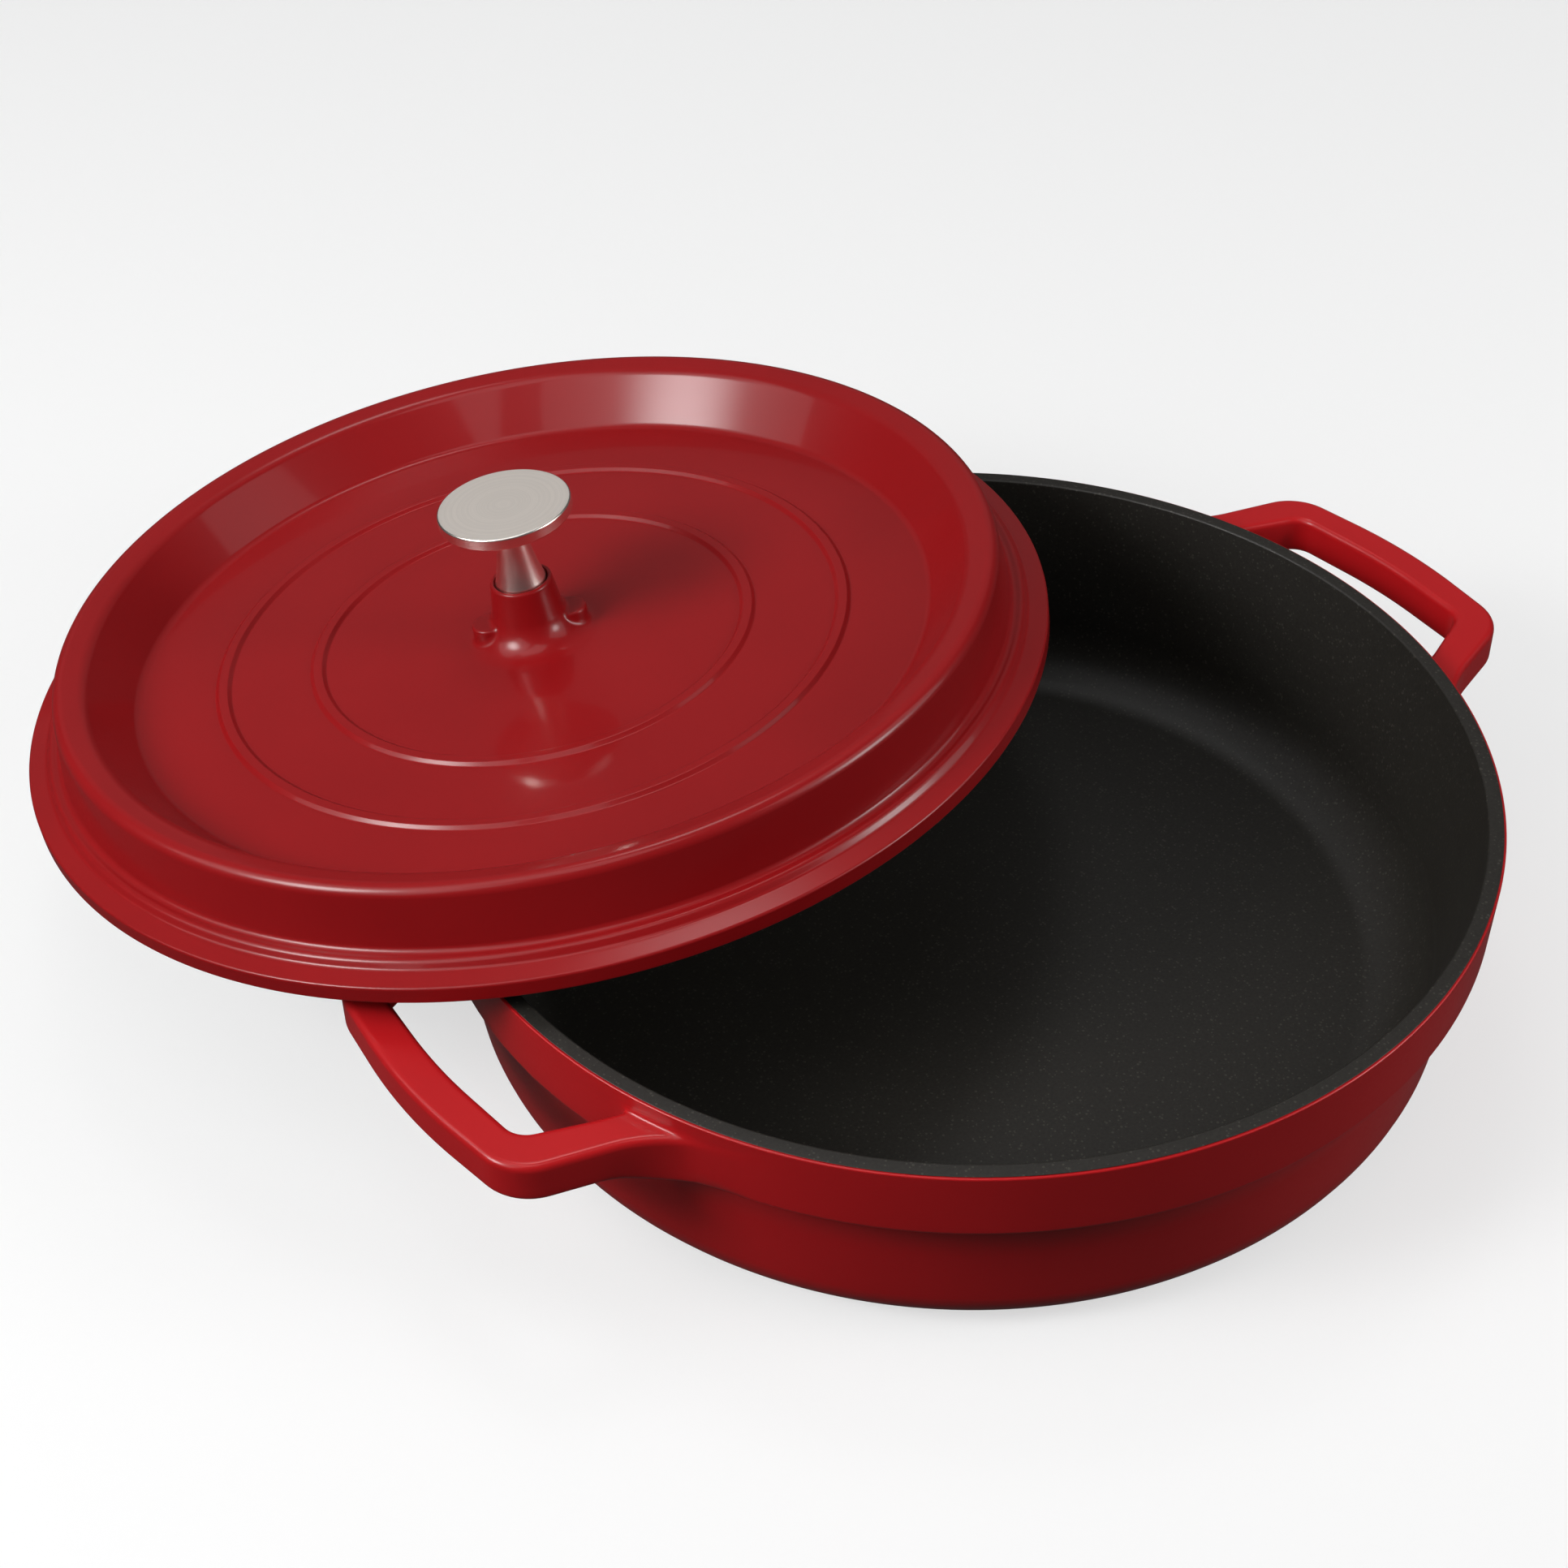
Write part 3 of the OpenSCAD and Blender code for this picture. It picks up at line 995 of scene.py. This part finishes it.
make_piece("vessel_casting", vessel_cage(), **on_vessel(["vessel"], "enamel_red", vessel_red_painted_lit))
turned_piece(
    "vessel_coating", np.vstack([shifted(coated, coat_t)[::-1], coated]), FINE_TURN, False,
    **on_vessel(["vessel_lining"], "nonstick_dark", nonstick_dark),
)
turned_piece(
    "steel_base", plate_profile(), 240, False, sharp=20,
    **on_vessel(["base_plate"], "plate_steel", plate_steel),
)

make_piece("lid_casting", lid_cage(), **on_lid(["lid"], "enamel_red", lid_red_painted_shade))
turned_piece(
    "lid_coating", np.vstack([lid_under, shifted(lid_under, -coat_t)[::-1]]), FINE_TURN, True,
    **on_lid(["lid_lining"], "nonstick_dark", nonstick_dark),
)
turned_piece("lid_knob", knob_profile(), 192, False, **on_lid(["knob"], "knob_steel", knob_steel))
turned_piece(
    "seat_ring", washer_profile(foot_r, screw_r + 0.4, socket_floor, 1, 0.35), 128, True,
    **on_lid(["knob_seat_ring"], "seat_rubber", seat_rubber),
)
make_piece("hex_screw", screw_cage(), **on_lid(["knob_screw"], "fixing_steel", fixing_steel), sharp=35)
turned_piece(
    "plain_washer", washer_profile(6, screw_r + 0.2, web_under - flat_washer_t, flat_washer_t, 0.2),
    128, True,
    **on_lid(["flat_washer"], "fixing_steel", fixing_steel),
)
make_piece("split_washer", spring_washer_cage(), **on_lid(["spring_washer"], "fixing_steel", fixing_steel))


# ---- Camera, floor and light ----

light_aim = (-0.03, 0.05, 0.05)


def aimed(thing, place, target, roll=0.0):
    thing.location = place
    look = (Vector(target) - Vector(place)).to_track_quat("-Z", "Y").to_matrix()
    thing.rotation_euler = (look @ Matrix.Rotation(roll, 3, "Z")).to_euler()


def towards(azimuth, elevation, distance, centre):
    """The place that lies that way and that far from centre; azimuth counts from +X towards +Y."""
    level = polar(math.cos(math.radians(elevation)), azimuth)
    return Vector(centre) + distance * Vector((*level, math.sin(math.radians(elevation))))


def make_camera():
    data = bpy.data.cameras.new("camera")
    data.lens = 61.25
    data.sensor_width = 36
    data.clip_start = 0.05
    camera = bpy.data.objects.new("camera", data)
    bpy.context.scene.collection.objects.link(camera)
    aimed(camera, (-0.36496, -0.41397, 0.53586), (-0.04054, 0.02541, 0.068), math.radians(-1.3))
    bpy.context.scene.camera = camera


def flat_sheet(name, width, height):
    """A level rectangle round the origin, in metres."""
    mesh = bpy.data.meshes.new(name)
    corners = [(x * width / 2, y * height / 2, 0) for x, y in ((-1, -1), (1, -1), (1, 1), (-1, 1))]
    mesh.from_pydata(corners, [], [(0, 1, 2, 3)])
    sheet = bpy.data.objects.new(name, mesh)
    bpy.context.scene.collection.objects.link(sheet)
    return sheet


def make_softbox(name, azimuth, elevation, distance, size, edge, core, core_size, core_at=(0, 0)):
    """A glowing sheet that faces the dish, brighter round core_at, where the lamp stands behind it.

    edge and core are its strengths outside and inside the core, and core_size is the core's radius in metres.
    """
    sheet = flat_sheet(name, *size)
    aimed(sheet, towards(azimuth, elevation, distance, light_aim), light_aim)
    sheet.visible_camera = False
    made = bpy.data.materials.new(name)
    made.use_nodes = True
    nodes, links = made.node_tree.nodes, made.node_tree.links
    nodes.clear()
    where = object_coordinates(nodes)
    away = nodes.new("ShaderNodeVectorMath")
    away.operation = "DISTANCE"
    away.inputs[1].default_value = (*core_at, 0)
    links.new(where, away.inputs[0])
    glow = span(nodes, links, away.outputs["Value"], core, edge, 0, core_size, "SMOOTHERSTEP")
    emission = nodes.new("ShaderNodeEmission")
    links.new(glow, emission.inputs["Strength"])
    surface = nodes.new("ShaderNodeOutputMaterial")
    links.new(emission.outputs["Emission"], surface.inputs["Surface"])
    sheet.data.materials.append(made)


def make_floor():
    """A pale floor that takes the dish's shadow, but isn't mirrored in its paint."""
    floor = flat_sheet("floor", 16, 16)
    floor.location.z = -0.0002
    floor.visible_glossy = False
    floor.visible_diffuse = False
    made, nodes, links, shader = new_material("pale_floor")
    shader.inputs["Base Color"].default_value = (0.32, 0.32, 0.32, 1)
    shader.inputs["Roughness"].default_value = 0.8
    shader.inputs["Specular IOR Level"].default_value = 0
    shader.inputs["Emission Color"].default_value = (1, 1, 1, 1)
    shader.inputs["Emission Strength"].default_value = 0.62
    floor.data.materials.append(made)


def make_world():
    """Pale behind the dish for the camera, and dim all round for everything that it mirrors."""
    world = bpy.data.worlds.new("studio")
    world.use_nodes = True
    nodes, links = world.node_tree.nodes, world.node_tree.links
    nodes["Background"].inputs["Color"].default_value = (1, 1, 1, 1)
    path = nodes.new("ShaderNodeLightPath")
    strength = span(nodes, links, path.outputs["Is Camera Ray"], 0.05, 0.72)
    links.new(strength, nodes["Background"].inputs["Strength"])
    bpy.context.scene.world = world


bpy.context.scene.view_settings.view_transform = "Standard"
make_camera()
make_floor()
make_world()
make_softbox("light_left", 170, 42, 1.4, (1.6, 1.0), edge=1.3, core=22, core_size=0.46, core_at=(0, -0.12))
make_softbox("light_right", -44, 34, 1.4, (1.1, 1.1), edge=1.1, core=12, core_size=0.42, core_at=(-0.1, -0.2))
make_softbox("light_back", 62, 48, 1.9, (3.0, 2.6), edge=0.18, core=6, core_size=0.5, core_at=(0, 0.75))
make_softbox("light_top", 195, 74, 1.4, (1.0, 0.6), edge=1.5, core=1.5, core_size=1)
